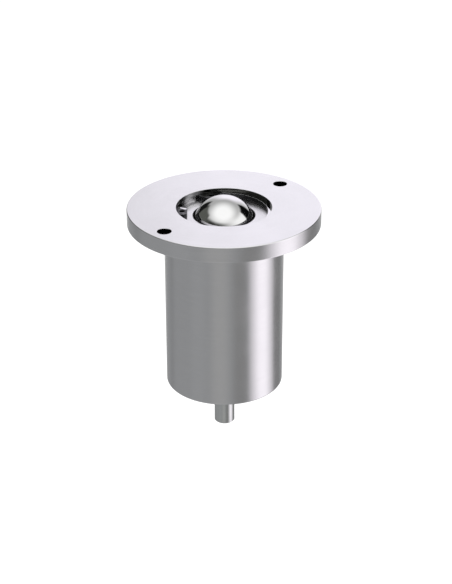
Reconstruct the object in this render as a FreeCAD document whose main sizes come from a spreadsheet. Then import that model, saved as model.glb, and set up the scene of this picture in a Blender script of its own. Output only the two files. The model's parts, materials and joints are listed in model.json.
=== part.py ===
"""Spring-loaded ball transfer unit in a flanged turned steel housing.

The origin is on the axis, in the plane of the flange's underside, which is the face that lies on
the table. +Z points up, towards the load ball, and the two screw holes lie on the X axis.
"""
import FreeCAD, Part
import os

import Sketcher

doc = FreeCAD.newDocument("BallTransferUnit")

# Driving sizes, in millimetres and degrees

sizes = [
    # housing
    ("flange_width", 17.5),
    ("flange_thickness", 7.7),
    ("flange_edge", 0.4),
    ("body_wall", 5.8),
    ("body_length", 84.0),
    ("body_edge", 0.8),
    ("mouth_edge", 0.25),
    ("floor_thickness", 9.0),
    ("screw_offset", 10.5),
    ("screw_hole_diameter", 6.6),
    ("screw_count", 2),
    # circlip and its groove
    ("groove_depth", 1.05),
    ("groove_play", 0.1),
    ("circlip_thickness", 2.0),
    ("circlip_edge_play", 0.15),
    ("circlip_width_back", 3.0),
    ("circlip_width_ends", 1.5),
    ("circlip_gap", 15.5),
    ("circlip_turn", 8.4),
    ("lug_angle", 36.0),
    ("lug_depth", 6.2),
    ("lug_width", 8.2),
    ("lug_corner", 1.2),
    ("lug_hole_diameter", 2.5),
    ("lug_hole_inset", 2.4),
    # balls and the cup that they run in
    ("ball_diameter", 30.0),
    ("ball_depth", 10.03),
    ("support_ball_diameter", 5.0),
    ("rolling_play", 0.05),
    ("cup_wall", 1.4),
    ("cup_floor", 2.5),
    ("bottom_row_balls", 4),
    ("bottom_row_slack", 1.02),
    ("keeper_gap", 0.3),
    ("keeper_play", 0.05),
    # cover and wiper above them
    ("cover_depth", 4.2),
    ("cover_thickness", 2.0),
    ("cover_lip", 0.35),
    ("cover_edge", 0.25),
    ("wiper_width", 2.4),
    ("wiper_play", 0.05),
    ("wiper_ball_gap", 0.25),
    ("wiper_pocket", 1.1),
    ("wiper_step", 0.5),
    ("wiper_lip_height", 0.4),
    # carrier that slides in the bore
    ("slide_play", 0.1),
    ("carrier_wall", 1.1),
    ("carrier_web", 3.6),
    ("carrier_edge", 0.6),
    ("carrier_land", 6.0),
    ("carrier_relief", 0.4),
    ("nut_headroom", 0.6),
    ("nut_side_room", 1.0),
    # guide stem and what fastens it
    ("stem_diameter", 10.0),
    ("stem_reach", 24.7),
    ("stem_edge", 0.8),
    ("collar_width", 6.0),
    ("collar_thickness", 3.0),
    ("thread_diameter", 8.0),
    ("thread_play", 0.02),
    ("nut_across_flats", 13.0),
    ("nut_thickness", 4.0),
    ("lock_washer_thickness", 0.8),
    ("lock_washer_width", 3.4),
    # bush in the floor
    ("bush_wall", 2.5),
    ("bush_flange_width", 2.5),
    ("bush_flange_thickness", 2.0),
    ("bush_play", 0.05),
    # spring and its seats
    ("spring_seat_thickness", 2.2),
    ("spring_seat_play", 0.3),
    ("spring_bore_gap", 3.2),
    ("spring_wire_width", 5.6),
    ("spring_wire_height", 3.6),
    ("spring_turns", 5.0),
]

sheet = doc.addObject("Spreadsheet::Sheet", "Sizes")
for row, (alias, value) in enumerate(sizes, start=1):
    sheet.set(f"A{row}", alias)
    sheet.set(f"B{row}", str(value))
    sheet.setAlias(f"B{row}", alias)
doc.recompute()

SUPPORT_ROWS = 5


def half(alias):
    """Expression for half of a driving size."""
    return f"(Sizes.{alias} / 2)"


# Radii and levels that several pieces share, as expressions of the driving sizes

FLANGE_TOP = "Sizes.flange_thickness"
BODY_BOTTOM = "(-Sizes.body_length)"
FLOOR_TOP = f"({BODY_BOTTOM} + Sizes.floor_thickness)"
COVER_TOP = f"({FLANGE_TOP} - Sizes.cover_depth)"
COVER_BOTTOM = f"({COVER_TOP} - Sizes.cover_thickness)"
COVER_HOLE = f"({half('ball_diameter')} - Sizes.cover_lip)"
GROOVE_BOTTOM = f"({COVER_TOP} - Sizes.groove_play / 2)"
GROOVE_TOP = f"({COVER_TOP} + Sizes.circlip_thickness + Sizes.groove_play / 2)"
BALL_CENTRE = f"({FLANGE_TOP} - Sizes.ball_depth)"
BALL_RADIUS = half("ball_diameter")
SUPPORT_RADIUS = half("support_ball_diameter")
TRACK_RADIUS = f"({BALL_RADIUS} + {SUPPORT_RADIUS} + Sizes.rolling_play)"
RACE_RADIUS = f"({TRACK_RADIUS} + {SUPPORT_RADIUS} + Sizes.rolling_play)"
CUP_RADIUS = f"({RACE_RADIUS} + Sizes.cup_wall)"
CUP_BOTTOM = f"({BALL_CENTRE} - {RACE_RADIUS} - Sizes.cup_floor)"
CARRIER_RADIUS = f"({CUP_RADIUS} + Sizes.carrier_wall)"
BORE_RADIUS = f"({CARRIER_RADIUS} + Sizes.slide_play)"
GROOVE_RADIUS = f"({BORE_RADIUS} + Sizes.groove_depth)"
BODY_RADIUS = f"({BORE_RADIUS} + Sizes.body_wall)"
FLANGE_RADIUS = f"({BODY_RADIUS} + Sizes.flange_width)"
NUT_CORNER = f"({half('nut_across_flats')} / cos(30 deg))"
NUT_POCKET = f"({NUT_CORNER} + Sizes.nut_side_room)"
NUT_TOP = f"({CUP_BOTTOM} - Sizes.nut_headroom)"
WASHER_TOP = f"({NUT_TOP} - Sizes.nut_thickness)"
POCKET_BOTTOM = f"({WASHER_TOP} - Sizes.lock_washer_thickness)"
CARRIER_BOTTOM = f"({POCKET_BOTTOM} - Sizes.carrier_web)"
STEM_RADIUS = half("stem_diameter")
STEM_BOTTOM = f"({BODY_BOTTOM} - Sizes.stem_reach)"
COLLAR_RADIUS = f"({STEM_RADIUS} + Sizes.collar_width)"
COLLAR_BOTTOM = f"({CARRIER_BOTTOM} - Sizes.collar_thickness)"
THREAD_RADIUS = half("thread_diameter")
THREAD_HOLE = f"({THREAD_RADIUS} + Sizes.thread_play)"
BUSH_BORE = f"({STEM_RADIUS} + Sizes.bush_play)"
BUSH_RADIUS = f"({BUSH_BORE} + Sizes.bush_wall)"
BUSH_FLANGE = f"({BUSH_RADIUS} + Sizes.bush_flange_width)"
BUSH_TOP = f"({FLOOR_TOP} + Sizes.bush_flange_thickness)"
SPRING_RADIUS = f"({BORE_RADIUS} - Sizes.spring_bore_gap)"
SPRING_TOP = f"({CARRIER_BOTTOM} - Sizes.spring_seat_thickness)"
SPRING_BOTTOM = f"({FLOOR_TOP} + Sizes.spring_seat_thickness)"
WIPER_RADIUS = f"({BALL_RADIUS} + Sizes.wiper_width)"
POCKET_RADIUS = f"({WIPER_RADIUS} + Sizes.wiper_play)"
WIPER_TOP = f"({COVER_BOTTOM} + Sizes.wiper_pocket)"
WIPER_BOTTOM = f"({COVER_BOTTOM} - Sizes.wiper_step)"
LIP_TOP = f"({WIPER_TOP} + Sizes.wiper_lip_height)"
LIP_RADIUS = f"({COVER_HOLE} - Sizes.wiper_play)"

# The rows of support balls climb the cup from its lowest row by one ball pitch each

PITCH_RADIUS = f"({SUPPORT_RADIUS} + Sizes.rolling_play)"
ROW_STEP = f"(2 * asin({PITCH_RADIUS} / {TRACK_RADIUS}))"
SNUG_RING = "(Sizes.bottom_row_slack / sin(180 deg / Sizes.bottom_row_balls))"
FIRST_ROW = f"asin({SNUG_RING} * {PITCH_RADIUS} / {TRACK_RADIUS})"


def row_angle(row):
    """Angle from the downward axis to the balls of a row."""
    return f"({FIRST_ROW} + {row} * {ROW_STEP})"


KEEPER_BOTTOM = (
    f"({BALL_CENTRE} - {TRACK_RADIUS} * cos({row_angle(SUPPORT_ROWS - 1)})"
    f" + {SUPPORT_RADIUS} + Sizes.keeper_gap)"
)


def cap_radius(radius, level):
    """Radius, at a level, of a sphere that is concentric with the load ball."""
    return f"sqrt(pow({radius}; 2) - pow({level} - {BALL_CENTRE}; 2))"


# Helpers


def number(holder, expression):
    """Value of an expression at the present sizes."""
    value = holder.evalExpression(expression)
    return float(getattr(value, "Value", value))


def origin_part(body, role):
    """One of the body's own origin planes or axes."""
    return next(item for item in body.Origin.OriginFeatures if item.Role == role)


def new_body(label):
    body = doc.addObject("PartDesign::Body", label)
    body.Label = label
    return body


def new_sketch(body, name, plane="XY_Plane"):
    sketch = body.newObject("Sketcher::SketchObject", f"{body.Name}_{name}")
    sketch.AttachmentSupport = [(origin_part(body, plane), "")]
    sketch.MapMode = "FlatFace"
    return sketch


def place_point(sketch, item, end, across, along):
    """Ties one point of a sketch to its distances from the two axes."""
    for kind, axis, expression in (("DistanceX", -2, across), ("DistanceY", -1, along)):
        if expression == "0":
            sketch.addConstraint(Sketcher.Constraint("PointOnObject", item, end, axis))
            continue
        start = number(sketch, expression)
        index = sketch.addConstraint(Sketcher.Constraint(kind, -1, 1, item, end, start))
        sketch.setExpression(f"Constraints[{index}]", expression)


def outline(sketch, corners, arcs=()):
    """Closed outline through corners. A side named in arcs is an arc about a point of the V axis."""
    spots = [
        FreeCAD.Vector(number(sketch, across), number(sketch, along), 0)
        for across, along in corners
    ]
    count = len(corners)
    arcs = dict(arcs)
    for side in range(count):
        start, end = spots[side], spots[(side + 1) % count]
        if side in arcs:
            middle = FreeCAD.Vector(0, number(sketch, arcs[side]), 0)
            circle = Part.Circle(middle, FreeCAD.Vector(0, 0, 1), (start - middle).Length)
            sketch.addGeometry(Part.ArcOfCircle(circle, circle.parameter(end), circle.parameter(start)))
        else:
            sketch.addGeometry(Part.LineSegment(start, end))
    # an arc runs backwards along the outline, so its two ends change places
    for side in range(count):
        after = (side + 1) % count
        leaving = 1 if side in arcs else 2
        arriving = 2 if after in arcs else 1
        sketch.addConstraint(Sketcher.Constraint("Coincident", side, leaving, after, arriving))
    for side in arcs:
        sketch.addConstraint(Sketcher.Constraint("PointOnObject", side, 3, -2))
    for side, (across, along) in enumerate(corners):
        place_point(sketch, side, 2 if side in arcs else 1, across, along)
    return sketch


def circle(sketch, radius, across="0", along="0"):
    """Circle of a given radius about a given point."""
    middle = FreeCAD.Vector(number(sketch, across), number(sketch, along), 0)
    size = number(sketch, radius)
    item = sketch.addGeometry(Part.Circle(middle, FreeCAD.Vector(0, 0, 1), size))
    index = sketch.addConstraint(Sketcher.Constraint("Radius", item, size))
    sketch.setExpression(f"Constraints[{index}]", radius)
    if across == "0" and along == "0":
        sketch.addConstraint(Sketcher.Constraint("Coincident", item, 3, -1, 1))
    else:
        place_point(sketch, item, 3, across, along)
    return sketch


def turned(label, corners, arcs=()):
    """Piece turned about the Z axis from half of its section."""
    body = new_body(label)
    section = outline(new_sketch(body, "Section", "XZ_Plane"), corners, arcs)
    turning = body.newObject("PartDesign::Revolution", f"{label}_Turning")
    turning.Profile = section
    turning.ReferenceAxis = (section, ["V_Axis"])
    turning.Angle = 360
    return body


def washer(label, inner, outer, bottom, top):
    """Flat ring between two radii and two levels."""
    return turned(label, [(inner, bottom), (outer, bottom), (outer, top), (inner, top)])


def pad(body, sketch, name, height):
    feature = body.newObject("PartDesign::Pad", f"{body.Name}_{name}")
    feature.Profile = sketch
    feature.setExpression("Length", height)
    return feature


def pocket_through(body, sketch, name):
    """Hole or cut that goes right through, on both sides of its sketch."""
    feature = body.newObject("PartDesign::Pocket", f"{body.Name}_{name}")
    feature.Profile = sketch
    feature.Type = "ThroughAll"
    feature.Midplane = True
    return feature


def mirrored(body, feature, name):
    """Copy of a feature on the other side of the body's YZ plane."""
    mirror = body.newObject("PartDesign::Mirrored", f"{body.Name}_{name}")
    mirror.Originals = [feature]
    mirror.MirrorPlane = (origin_part(body, "YZ_Plane"), [""])
    body.Tip = mirror
    return mirror


# Housing: flange, body, bore with the circlip groove, floor with the hole for the bush


def make_housing():
    edge, corner, mouth = "Sizes.flange_edge", "Sizes.body_edge", "Sizes.mouth_edge"
    body = turned("housing", [
        (BUSH_RADIUS, BODY_BOTTOM),
        (f"{BODY_RADIUS} - {corner}", BODY_BOTTOM),
        (BODY_RADIUS, f"{BODY_BOTTOM} + {corner}"),
        (BODY_RADIUS, "0"),
        (f"{FLANGE_RADIUS} - {edge}", "0"),
        (FLANGE_RADIUS, edge),
        (FLANGE_RADIUS, f"{FLANGE_TOP} - {edge}"),
        (f"{FLANGE_RADIUS} - {edge}", FLANGE_TOP),
        (f"{BORE_RADIUS} + {mouth}", FLANGE_TOP),
        (BORE_RADIUS, f"{FLANGE_TOP} - {mouth}"),
        (BORE_RADIUS, GROOVE_TOP),
        (GROOVE_RADIUS, GROOVE_TOP),
        (GROOVE_RADIUS, GROOVE_BOTTOM),
        (BORE_RADIUS, GROOVE_BOTTOM),
        (BORE_RADIUS, FLOOR_TOP),
        (BUSH_RADIUS, FLOOR_TOP),
    ])
    hole = circle(new_sketch(body, "ScrewHole"), half("screw_hole_diameter"),
                  f"{BODY_RADIUS} + Sizes.screw_offset")
    drilling = pocket_through(body, hole, "ScrewDrilling")
    pattern = body.newObject("PartDesign::PolarPattern", "housing_ScrewPattern")
    pattern.Originals = [drilling]
    pattern.Axis = (origin_part(body, "Z_Axis"), [""])
    pattern.Angle = 360
    pattern.setExpression("Occurrences", "Sizes.screw_count")
    body.Tip = pattern
    return body


# Circlip: an eccentric open ring with a drilled lug at each end, its gap drawn at +Y


def make_circlip():
    outer = f"({GROOVE_RADIUS} - Sizes.circlip_edge_play)"
    inner = f"({outer} - (Sizes.circlip_width_back + Sizes.circlip_width_ends) / 2)"
    shift = "((Sizes.circlip_width_back - Sizes.circlip_width_ends) / 2)"
    lug_tip = f"({outer} - Sizes.lug_depth)"
    lug_side, corner = half("lug_width"), "Sizes.lug_corner"
    lug_root = f"({outer} - Sizes.circlip_width_ends / 2)"
    body = new_body("circlip")
    ring = new_sketch(body, "Ring")
    circle(ring, outer)
    circle(ring, inner, "0", shift)
    pad(body, ring, "RingPad", "Sizes.circlip_thickness")
    lug = new_sketch(body, "Lug")
    lug.setExpression("AttachmentOffset.Rotation.Angle", "-Sizes.lug_angle")
    outline(lug, [
        (f"-{lug_side}", f"{lug_tip} + {corner}"),
        (f"-{lug_side} + {corner}", lug_tip),
        (f"{lug_side} - {corner}", lug_tip),
        (lug_side, f"{lug_tip} + {corner}"),
        (lug_side, lug_root),
        (f"-{lug_side}", lug_root),
    ])
    mirrored(body, pad(body, lug, "LugPad", "Sizes.circlip_thickness"), "LugPair")
    gap = new_sketch(body, "Gap")
    side = half("circlip_gap")
    outline(gap, [
        (f"-{side}", f"{lug_tip} / 2"),
        (side, f"{lug_tip} / 2"),
        (side, FLANGE_RADIUS),
        (f"-{side}", FLANGE_RADIUS),
    ])
    pocket_through(body, gap, "GapCut")
    hole = new_sketch(body, "LugHole")
    hole.setExpression("AttachmentOffset.Rotation.Angle", "-Sizes.lug_angle")
    circle(hole, half("lug_hole_diameter"), "0", f"{lug_tip} + Sizes.lug_hole_inset")
    mirrored(body, pocket_through(body, hole, "LugDrilling"), "LugHolePair")
    body.setExpression("Placement.Base.z", COVER_TOP)
    body.setExpression("Placement.Rotation.Angle", "Sizes.circlip_turn")
    return body


# Ball unit: cover, wiper, keeper, load ball, support balls, cup and carrier


def make_cover_ring():
    edge = "Sizes.cover_edge"
    return turned("cover_ring", [
        (POCKET_RADIUS, COVER_BOTTOM),
        (CARRIER_RADIUS, COVER_BOTTOM),
        (CARRIER_RADIUS, f"{COVER_TOP} - {edge}"),
        (f"{CARRIER_RADIUS} - {edge}", COVER_TOP),
        (f"{COVER_HOLE} + {edge}", COVER_TOP),
        (COVER_HOLE, f"{COVER_TOP} - {edge}"),
        (COVER_HOLE, WIPER_TOP),
        (POCKET_RADIUS, WIPER_TOP),
    ])


def make_wiper_ring():
    """Dark ring that wipes the ball; its inner face follows the ball a little way off."""
    face = f"({BALL_RADIUS} + Sizes.wiper_ball_gap)"
    return turned("wiper_ring", [
        (cap_radius(face, WIPER_BOTTOM), WIPER_BOTTOM),
        (WIPER_RADIUS, WIPER_BOTTOM),
        (WIPER_RADIUS, WIPER_TOP),
        (LIP_RADIUS, WIPER_TOP),
        (LIP_RADIUS, LIP_TOP),
        (cap_radius(face, LIP_TOP), LIP_TOP),
    ], {5: BALL_CENTRE})


def make_ball_keeper():
    """Ring that keeps the top row of support balls down and carries the wiper on its step."""
    inner = f"({BALL_RADIUS} + Sizes.keeper_gap)"
    outer = f"({RACE_RADIUS} - Sizes.keeper_play)"
    return turned("ball_keeper", [
        (inner, KEEPER_BOTTOM),
        (outer, KEEPER_BOTTOM),
        (outer, COVER_BOTTOM),
        (POCKET_RADIUS, COVER_BOTTOM),
        (POCKET_RADIUS, WIPER_BOTTOM),
        (inner, WIPER_BOTTOM),
    ])


def make_load_ball():
    body = new_body("load_ball")
    ball = body.newObject("PartDesign::AdditiveSphere", "load_ball_Ball")
    ball.setExpression("Radius", BALL_RADIUS)
    body.setExpression("Placement.Base.z", BALL_CENTRE)
    return body


def make_support_row(row):
    """One row of support balls, as many as fit round the cup at its height."""
    body = new_body(f"support_row_{SUPPORT_ROWS - row}")
    angle = row_angle(row)
    ring = f"({TRACK_RADIUS} * sin({angle}))"
    ball = body.newObject("PartDesign::AdditiveSphere", f"{body.Name}_Ball")
    ball.AttachmentSupport = [(origin_part(body, "XY_Plane"), "")]
    ball.MapMode = "FlatFace"
    ball.setExpression("Radius", SUPPORT_RADIUS)
    ball.setExpression("AttachmentOffset.Base.x", ring)
    pattern = body.newObject("PartDesign::PolarPattern", f"{body.Name}_Pattern")
    pattern.Originals = [ball]
    pattern.Axis = (origin_part(body, "Z_Axis"), [""])
    pattern.Angle = 360
    pattern.setExpression("Occurrences", f"floor(180 deg / asin({PITCH_RADIUS} / {ring}))")
    body.Tip = pattern
    body.setExpression("Placement.Base.z", f"{BALL_CENTRE} - {TRACK_RADIUS} * cos({angle})")
    return body


def make_bearing_cup():
    return turned("bearing_cup", [
        ("0", CUP_BOTTOM),
        (CUP_RADIUS, CUP_BOTTOM),
        (CUP_RADIUS, COVER_BOTTOM),
        (RACE_RADIUS, COVER_BOTTOM),
        (RACE_RADIUS, BALL_CENTRE),
        ("0", f"{BALL_CENTRE} - {RACE_RADIUS}"),
    ], {4: BALL_CENTRE})


def make_ball_carrier():
    """Sleeve with two sliding lands, a seat for the cup and a drilled floor with a nut pocket."""
    edge, land, relief = "Sizes.carrier_edge", "Sizes.carrier_land", "Sizes.carrier_relief"
    waist = f"{CARRIER_RADIUS} - {relief}"
    return turned("ball_carrier", [
        (THREAD_HOLE, CARRIER_BOTTOM),
        (f"{CARRIER_RADIUS} - {edge}", CARRIER_BOTTOM),
        (CARRIER_RADIUS, f"{CARRIER_BOTTOM} + {edge}"),
        (CARRIER_RADIUS, f"{CARRIER_BOTTOM} + {land}"),
        (waist, f"{CARRIER_BOTTOM} + {land} + {relief}"),
        (waist, f"{COVER_BOTTOM} - {land} - {relief}"),
        (CARRIER_RADIUS, f"{COVER_BOTTOM} - {land}"),
        (CARRIER_RADIUS, COVER_BOTTOM),
        (CUP_RADIUS, COVER_BOTTOM),
        (CUP_RADIUS, CUP_BOTTOM),
        (NUT_POCKET, CUP_BOTTOM),
        (NUT_POCKET, POCKET_BOTTOM),
        (THREAD_HOLE, POCKET_BOTTOM),
    ])


# Guide stem under the carrier, with its nut and washer, and the bush that it slides in


def make_guide_stem():
    edge = "Sizes.stem_edge"
    return turned("guide_stem", [
        ("0", STEM_BOTTOM),
        (f"{STEM_RADIUS} - {edge}", STEM_BOTTOM),
        (STEM_RADIUS, f"{STEM_BOTTOM} + {edge}"),
        (STEM_RADIUS, COLLAR_BOTTOM),
        (COLLAR_RADIUS, COLLAR_BOTTOM),
        (COLLAR_RADIUS, CARRIER_BOTTOM),
        (THREAD_RADIUS, CARRIER_BOTTOM),
        (THREAD_RADIUS, NUT_TOP),
        ("0", NUT_TOP),
    ])


def make_stem_nut():
    body = new_body("stem_nut")
    sketch = new_sketch(body, "Hexagon")
    outline(sketch, [
        (f"{NUT_CORNER} * cos({turn} deg)", f"{NUT_CORNER} * sin({turn} deg)")
        for turn in range(30, 390, 60)
    ])
    circle(sketch, THREAD_HOLE)
    pad(body, sketch, "HexagonPad", "Sizes.nut_thickness")
    body.setExpression("Placement.Base.z", WASHER_TOP)
    return body


def make_guide_bush():
    return turned("guide_bush", [
        (BUSH_BORE, BODY_BOTTOM),
        (BUSH_RADIUS, BODY_BOTTOM),
        (BUSH_RADIUS, FLOOR_TOP),
        (BUSH_FLANGE, FLOOR_TOP),
        (BUSH_FLANGE, BUSH_TOP),
        (BUSH_BORE, BUSH_TOP),
    ])


# Spring of rectangular wire, ground flat at both ends, between two seats


def make_spring():
    height = f"({SPRING_TOP} - {SPRING_BOTTOM})"
    middle = f"({SPRING_RADIUS} - Sizes.spring_wire_width / 2)"
    pitch = f"({height} / Sizes.spring_turns)"
    path = doc.addObject("Part::Helix", "spring_path")
    path.setExpression("Pitch", pitch)
    path.setExpression("Height", f"{height} + {pitch}")
    path.setExpression("Radius", middle)
    path.setExpression("Placement.Base.z", f"{SPRING_BOTTOM} - {pitch} / 2")
    wire = doc.addObject("Part::Plane", "spring_wire")
    wire.setExpression("Length", "Sizes.spring_wire_width")
    wire.setExpression("Width", "Sizes.spring_wire_height")
    wire.Placement.Rotation = FreeCAD.Rotation(FreeCAD.Vector(1, 0, 0), 90)
    wire.setExpression("Placement.Base.x", f"{middle} - Sizes.spring_wire_width / 2")
    wire.setExpression(
        "Placement.Base.z",
        f"{SPRING_BOTTOM} - {pitch} / 2 - Sizes.spring_wire_height / 2",
    )
    coil = doc.addObject("Part::Sweep", "spring_coil")
    coil.Sections = [wire]
    coil.Spine = (path, [])
    coil.Solid = True
    coil.Frenet = True
    length = doc.addObject("Part::Cylinder", "spring_length")
    length.setExpression("Radius", BORE_RADIUS)
    length.setExpression("Height", height)
    length.setExpression("Placement.Base.z", SPRING_BOTTOM)
    ground = doc.addObject("Part::Common", "spring")
    ground.Base = coil
    ground.Tool = length
    ground.Label = "spring"
    return ground


nodes = [
    make_housing(),
    make_circlip(),
    make_cover_ring(),
    make_wiper_ring(),
    make_ball_keeper(),
    make_load_ball(),
    make_bearing_cup(),
    make_ball_carrier(),
    make_guide_stem(),
    make_stem_nut(),
    washer("lock_washer", THREAD_HOLE, f"{THREAD_HOLE} + Sizes.lock_washer_width",
           POCKET_BOTTOM, WASHER_TOP),
    make_guide_bush(),
    make_spring(),
    washer("upper_spring_seat", f"{COLLAR_RADIUS} + Sizes.spring_seat_play",
           SPRING_RADIUS, SPRING_TOP, CARRIER_BOTTOM),
    washer("lower_spring_seat", f"{BUSH_FLANGE} + Sizes.spring_seat_play",
           SPRING_RADIUS, FLOOR_TOP, SPRING_BOTTOM),
]
nodes += [make_support_row(row) for row in range(SUPPORT_ROWS)]
doc.recompute()

# Every object has to be sound before anything is written

for item in doc.Objects:
    if "Invalid" in item.State or "Error" in item.State:
        raise RuntimeError(f"{item.Name} failed: {item.State}")
for node in nodes:
    if node.Shape.isNull() or not node.Shape.isValid() or not node.Shape.Solids:
        raise RuntimeError(f"{node.Label} has no sound solid")

os.makedirs("parts", exist_ok=True)
for node in nodes:
    node.Shape.exportStep(f"parts/{node.Label}.step")
    box = node.Shape.BoundBox
    print(f"{node.Label:20s} solids {len(node.Shape.Solids):3d}  volume {node.Shape.Volume:10.1f}"
          f"  z {box.ZMin:8.2f} {box.ZMax:8.2f}")
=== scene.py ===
"""Looks of a spring-loaded ball transfer unit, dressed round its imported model.

The turned pieces are profiles carried round the axis, the circlip is an outline carried through its
rounded edge, and the spring is a rounded bar carried along a helix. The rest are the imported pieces
with a finish of their own.
"""
import json
import math

import bmesh
import bpy
import numpy as np
from mathutils import Matrix, Vector
from mathutils.geometry import tessellate_polygon


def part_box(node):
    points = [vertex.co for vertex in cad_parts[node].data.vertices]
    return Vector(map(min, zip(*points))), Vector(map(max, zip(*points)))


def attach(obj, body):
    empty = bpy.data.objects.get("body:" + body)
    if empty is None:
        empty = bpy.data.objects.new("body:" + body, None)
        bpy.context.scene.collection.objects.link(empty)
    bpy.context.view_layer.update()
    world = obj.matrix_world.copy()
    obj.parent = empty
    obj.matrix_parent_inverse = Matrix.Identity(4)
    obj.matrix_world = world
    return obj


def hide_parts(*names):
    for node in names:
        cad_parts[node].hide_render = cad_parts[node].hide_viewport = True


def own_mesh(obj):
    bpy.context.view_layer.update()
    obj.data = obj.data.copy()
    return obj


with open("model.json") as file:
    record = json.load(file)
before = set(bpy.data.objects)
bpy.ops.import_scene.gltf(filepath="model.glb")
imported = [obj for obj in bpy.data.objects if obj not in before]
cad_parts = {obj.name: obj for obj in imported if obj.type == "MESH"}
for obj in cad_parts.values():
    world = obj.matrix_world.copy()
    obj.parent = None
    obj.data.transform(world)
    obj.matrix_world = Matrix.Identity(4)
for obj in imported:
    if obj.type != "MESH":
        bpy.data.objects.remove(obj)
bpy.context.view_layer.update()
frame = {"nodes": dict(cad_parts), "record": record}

MM = 0.001

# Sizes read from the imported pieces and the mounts

mounts = {mount["name"]: mount for mount in frame["record"]["mounts"]}


def reach(node):
    """Outer radius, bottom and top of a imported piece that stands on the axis."""
    low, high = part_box(node)
    return high.x, low.z, high.z


FLANGE_RADIUS, BODY_BOTTOM, FLANGE_TOP = reach("housing")
BODY_RADIUS = mounts["body"]["dims"]["r_mm"] * MM
SCREW_CIRCLE = mounts["screw_holes"]["dims"]["pcd_mm"] * MM / 2
SCREW_HOLE = mounts["screw_holes"]["dims"]["hole_r_mm"] * MM
CARRIER_RADIUS, CARRIER_BOTTOM, COVER_BOTTOM = reach("ball_carrier")
COVER_TOP = reach("cover_ring")[2]
WIPER_RADIUS, WIPER_BOTTOM, LIP_TOP = reach("wiper_ring")
BALL_RADIUS, BALL_BOTTOM, BALL_TOP = reach("load_ball")
BALL_CENTRE = (BALL_TOP + BALL_BOTTOM) / 2
CLIP_BOTTOM, CLIP_TOP = reach("circlip")[1:]
COLLAR_RADIUS, STEM_BOTTOM, STEM_TOP = reach("guide_stem")
BUSH_FLANGE, BUSH_BOTTOM, BUSH_TOP = reach("guide_bush")
SPRING_RADIUS, FLOOR_TOP, SPRING_BOTTOM = reach("lower_spring_seat")
SPRING_TOP = reach("upper_spring_seat")[1]

# Sizes that no box gives, as in the part's source

SLIDE_PLAY = 0.1 * MM
BORE_RADIUS = CARRIER_RADIUS + SLIDE_PLAY
GROOVE_DEPTH = 1.05 * MM
GROOVE_RADIUS = BORE_RADIUS + GROOVE_DEPTH
GROOVE_PLAY = 0.05 * MM
BUSH_BORE = 5.05 * MM
BUSH_RADIUS = 7.55 * MM
STEM_RADIUS = 5.0 * MM
THREAD_RADIUS = 4.0 * MM
COLLAR_THICKNESS = 3.0 * MM
COVER_HOLE = 14.65 * MM
WIPER_POCKET = 1.1 * MM
WIPER_LIP = 0.4 * MM
WIPER_PLAY = 0.05 * MM
WIPER_BALL_GAP = 0.25 * MM

# How finely the surfaces are divided

AROUND = 360
SMALL_AROUND = AROUND // 3
ARC_STEPS = 5
GUARD = 0.03 * MM
MERGE_DISTANCE = 0.002 * MM
LEVEL_FACE = 0.99999


# Profiles and grids


def rounded(corners, radii, steps=ARC_STEPS):
    """Open profile through corners, with each corner rounded by an arc of its own radius.

    The arc of radius r touches both sides at r / tan(half the angle between them), its centre lies
    on the bisector at r / sin(half the angle), and its points turn evenly from one touching point
    to the other. A guard point beyond each end of the arc keeps the flat beside it flat.
    """
    points = np.asarray(corners, float)
    radius = np.asarray(radii, float)[:, None]
    inner = points[1:-1]
    back = points[:-2] - inner
    onward = points[2:] - inner
    back /= np.linalg.norm(back, axis=1, keepdims=True)
    onward /= np.linalg.norm(onward, axis=1, keepdims=True)
    angle = np.arccos(np.clip((back * onward).sum(1, keepdims=True), -1, 1))
    touch = radius / np.tan(angle / 2)
    bisector = back + onward
    bisector /= np.linalg.norm(bisector, axis=1, keepdims=True)
    middle = inner + bisector * radius / np.sin(angle / 2)
    first = inner + back * touch - middle
    last = inner + onward * touch - middle
    turn = np.pi - angle
    share = np.linspace(0, 1, steps + 1)[None, :, None]
    swing = (
        np.sin((1 - share) * turn[:, None]) * first[:, None]
        + np.sin(share * turn[:, None]) * last[:, None]
    ) / np.sin(turn)[:, None]
    arcs = middle[:, None] + swing
    before = (inner + back * (touch + GUARD))[:, None]
    after = (inner + onward * (touch + GUARD))[:, None]
    rounds = np.concatenate([before, arcs, after], axis=1).reshape(-1, 2)
    return np.concatenate([points[:1], rounds, points[-1:]])


def turned(profile, around=AROUND):
    """Grid of a profile carried round the axis: (radius cos a, radius sin a, level) at each angle a."""
    profile = np.asarray(profile, float)
    angle = np.linspace(0, 2 * np.pi, around, endpoint=False)
    radius, level = profile[:, :1], profile[:, 1:]
    return np.stack([radius * np.cos(angle), radius * np.sin(angle), level + 0 * angle], axis=-1)


def quads(rows, columns, start, wrapped):
    """Corner numbers of the quads of a grid, whose last column joins the first where it is wrapped."""
    row, column = np.mgrid[0:rows - 1, 0:columns if wrapped else columns - 1]
    onward = (column + 1) % columns
    corners = [
        row * columns + column,
        row * columns + onward,
        (row + 1) * columns + onward,
        (row + 1) * columns + column,
    ]
    return start + np.stack(corners, axis=-1).reshape(-1, 4)


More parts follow.
